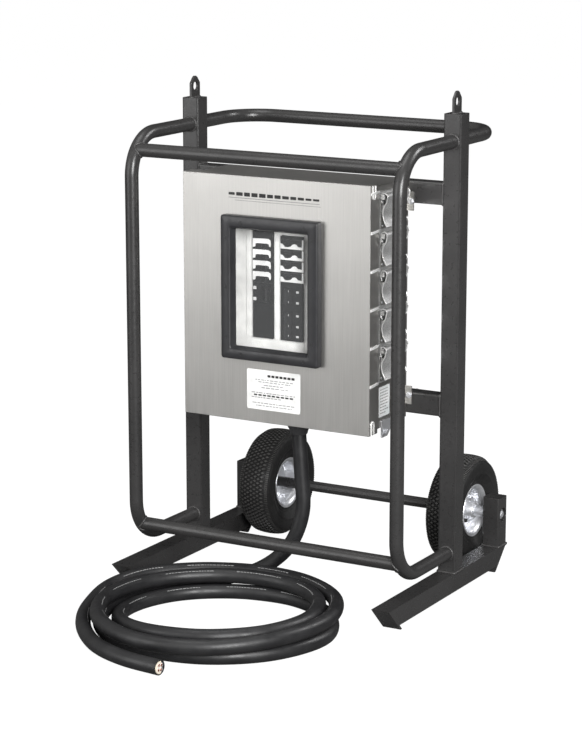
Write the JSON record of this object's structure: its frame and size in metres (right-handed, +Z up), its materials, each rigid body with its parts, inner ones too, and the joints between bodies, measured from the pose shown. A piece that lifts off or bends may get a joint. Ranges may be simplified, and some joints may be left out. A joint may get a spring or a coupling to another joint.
{
  "type": "portable power distribution box",
  "caption": "Portable power distribution box: a stainless breaker panel with a window door and flip-lid outlets, held in a two-wheeled tube frame, with a coiled supply cord.",
  "frame": {"origin": "middle of the footprint of the frame and its wheels, on the floor", "axes": "+X to the right hand of someone who faces the door, +Y from the door towards the wheels, +Z up"},
  "size_m": [0.733, 1.2035, 1.171],
  "materials": {
    "frame_powder_coat": "charcoal satin powder coat",
    "axle_steel": "bright zinc",
    "stainless_sheet": "brushed, vertical grain",
    "stainless_lid": "bright satin",
    "white_enamel": "satin white",
    "galvanised_pan": "dull",
    "breaker_plastic": "moulded",
    "bus_moulding": "moulded",
    "toggle_plastic": "moulded",
    "ground_clip": "dull",
    "seal_rubber": "closed-cell sponge",
    "bezel_plastic": "satin moulded",
    "clear_pane": "clear",
    "gland_plastic": "moulded",
    "cord_jacket": "extruded jacket, soft sheen",
    "tyre_rubber": "knob tread",
    "rim_zinc": "bright zinc plate"
  },
  "bodies": {
    "frame": {"upright_left": "frame_powder_coat", "upright_right": "frame_powder_coat", "foot_left": "frame_powder_coat", "foot_right": "frame_powder_coat", "wheel_post_left": "frame_powder_coat", "wheel_post_right": "frame_powder_coat", "side_loop_left": "frame_powder_coat", "side_loop_right": "frame_powder_coat", "lifting_lug_left": "frame_powder_coat", "lifting_lug_right": "frame_powder_coat", "front_top_rail": "frame_powder_coat", "front_bottom_rail": "frame_powder_coat", "rear_top_loop": "frame_powder_coat", "mounting_rail_upper": "frame_powder_coat", "mounting_rail_lower": "frame_powder_coat", "axle_rod": "axle_steel", "axle_spacer": "frame_powder_coat", "axle_spacer_left": "frame_powder_coat", "axle_spacer_right": "frame_powder_coat", "enclosure_body": "stainless_sheet", "hinge_leaf_fixed": "stainless_sheet", "hinge_pin": "stainless_sheet", "dead_front": "white_enamel", "back_pan": "galvanised_pan", "breaker_bank_left": "breaker_plastic", "breaker_bank_right": "breaker_plastic", "filler_blank": "breaker_plastic", "bus_assembly": "bus_moulding", "outlet_panel": "stainless_sheet", "ground_lug": "ground_clip", "cord_gland": "gland_plastic", "cord_lead": "cord_jacket", "cord_coil": "cord_jacket", "cord_tail": "cord_jacket"},
    "door": {"door": "stainless_sheet", "door_gasket": "seal_rubber", "hinge_leaf_moving": "stainless_sheet", "window_frame": "bezel_plastic", "window_pane": "clear_pane"},
    "wheel_left": {"tyre_left": "tyre_rubber", "rim_left": "rim_zinc"},
    "wheel_right": {"tyre_right": "tyre_rubber", "rim_right": "rim_zinc"},
    "outlet_lid_1": {"outlet_lid_1": "stainless_lid"},
    "outlet_lid_2": {"outlet_lid_2": "stainless_lid"},
    "outlet_lid_3": {"outlet_lid_3": "stainless_lid"},
    "outlet_lid_4": {"outlet_lid_4": "stainless_lid"},
    "outlet_lid_5": {"outlet_lid_5": "stainless_lid"},
    "toggle_left_1": {"toggle_left_1": "toggle_plastic"},
    "toggle_left_2": {"toggle_left_2": "toggle_plastic"},
    "toggle_left_3": {"toggle_left_3": "toggle_plastic"},
    "toggle_left_4": {"toggle_left_4": "toggle_plastic"},
    "toggle_left_5": {"toggle_left_5": "toggle_plastic"},
    "toggle_right_1": {"toggle_right_1": "toggle_plastic"},
    "toggle_right_2": {"toggle_right_2": "toggle_plastic"},
    "toggle_right_3": {"toggle_right_3": "toggle_plastic"},
    "toggle_right_4": {"toggle_right_4": "toggle_plastic"},
    "toggle_right_5": {"toggle_right_5": "toggle_plastic"},
    "toggle_right_6": {"toggle_right_6": "toggle_plastic"}
  },
  "joints": [
    {"name": "door_hinge", "type": "hinge", "parent": "frame", "child": "door", "pos_m": [-0.25, -0.18775, 0.6935], "axis": [0, 0, -1], "range_deg": [0, 90]},
    {"name": "outlet_lid_1_hinge", "type": "hinge", "parent": "frame", "child": "outlet_lid_1", "pos_m": [0.2505, -0.12475, 0.946], "axis": [0, -1, 0], "range_deg": [0, 105]},
    {"name": "outlet_lid_2_hinge", "type": "hinge", "parent": "frame", "child": "outlet_lid_2", "pos_m": [0.2505, -0.12475, 0.8592], "axis": [0, -1, 0], "range_deg": [0, 105]},
    {"name": "outlet_lid_3_hinge", "type": "hinge", "parent": "frame", "child": "outlet_lid_3", "pos_m": [0.2505, -0.12475, 0.7724], "axis": [0, -1, 0], "range_deg": [0, 105]},
    {"name": "outlet_lid_4_hinge", "type": "hinge", "parent": "frame", "child": "outlet_lid_4", "pos_m": [0.2505, -0.12475, 0.6856], "axis": [0, -1, 0], "range_deg": [0, 105]},
    {"name": "outlet_lid_5_hinge", "type": "hinge", "parent": "frame", "child": "outlet_lid_5", "pos_m": [0.2505, -0.12475, 0.5988], "axis": [0, -1, 0], "range_deg": [0, 105]},
    {"name": "toggle_left_1_throw", "type": "hinge", "parent": "frame", "child": "toggle_left_1", "pos_m": [-0.045, -0.18675, 0.8136], "axis": [0, 0, -1], "range_deg": [0, 44]},
    {"name": "toggle_left_2_throw", "type": "hinge", "parent": "frame", "child": "toggle_left_2", "pos_m": [-0.045, -0.18675, 0.7882], "axis": [0, 0, -1], "range_deg": [0, 44]},
    {"name": "toggle_left_3_throw", "type": "hinge", "parent": "frame", "child": "toggle_left_3", "pos_m": [-0.045, -0.18675, 0.7628], "axis": [0, 0, -1], "range_deg": [0, 44]},
    {"name": "toggle_left_4_throw", "type": "hinge", "parent": "frame", "child": "toggle_left_4", "pos_m": [-0.045, -0.18675, 0.7374], "axis": [0, 0, -1], "range_deg": [0, 44]},
    {"name": "toggle_left_5_throw", "type": "hinge", "parent": "frame", "child": "toggle_left_5", "pos_m": [-0.045, -0.18675, 0.7045], "axis": [0, 0, -1], "range_deg": [0, 44]},
    {"name": "toggle_right_1_throw", "type": "hinge", "parent": "frame", "child": "toggle_right_1", "pos_m": [0.017, -0.18675, 0.8298], "axis": [0, 0, 1], "range_deg": [0, 44]},
    {"name": "toggle_right_2_throw", "type": "hinge", "parent": "frame", "child": "toggle_right_2", "pos_m": [0.017, -0.18675, 0.8044], "axis": [0, 0, 1], "range_deg": [0, 44]},
    {"name": "toggle_right_3_throw", "type": "hinge", "parent": "frame", "child": "toggle_right_3", "pos_m": [0.017, -0.18675, 0.779], "axis": [0, 0, 1], "range_deg": [0, 44]},
    {"name": "toggle_right_4_throw", "type": "hinge", "parent": "frame", "child": "toggle_right_4", "pos_m": [0.017, -0.18675, 0.7536], "axis": [0, 0, 1], "range_deg": [0, 44]},
    {"name": "toggle_right_5_throw", "type": "hinge", "parent": "frame", "child": "toggle_right_5", "pos_m": [0.017, -0.18675, 0.7035], "axis": [0, 0, 1], "range_deg": [0, 44]},
    {"name": "toggle_right_6_throw", "type": "hinge", "parent": "frame", "child": "toggle_right_6", "pos_m": [0.017, -0.18675, 0.6367], "axis": [0, 0, 1], "range_deg": [0, 44]},
    {"name": "wheel_left_spin", "type": "hinge", "parent": "frame", "child": "wheel_left", "pos_m": [-0.259, 0.23025, 0.1335], "axis": [1, 0, 0], "continuous": true},
    {"name": "wheel_right_spin", "type": "hinge", "parent": "frame", "child": "wheel_right", "pos_m": [0.259, 0.23025, 0.1335], "axis": [1, 0, 0], "continuous": true}
  ]
}
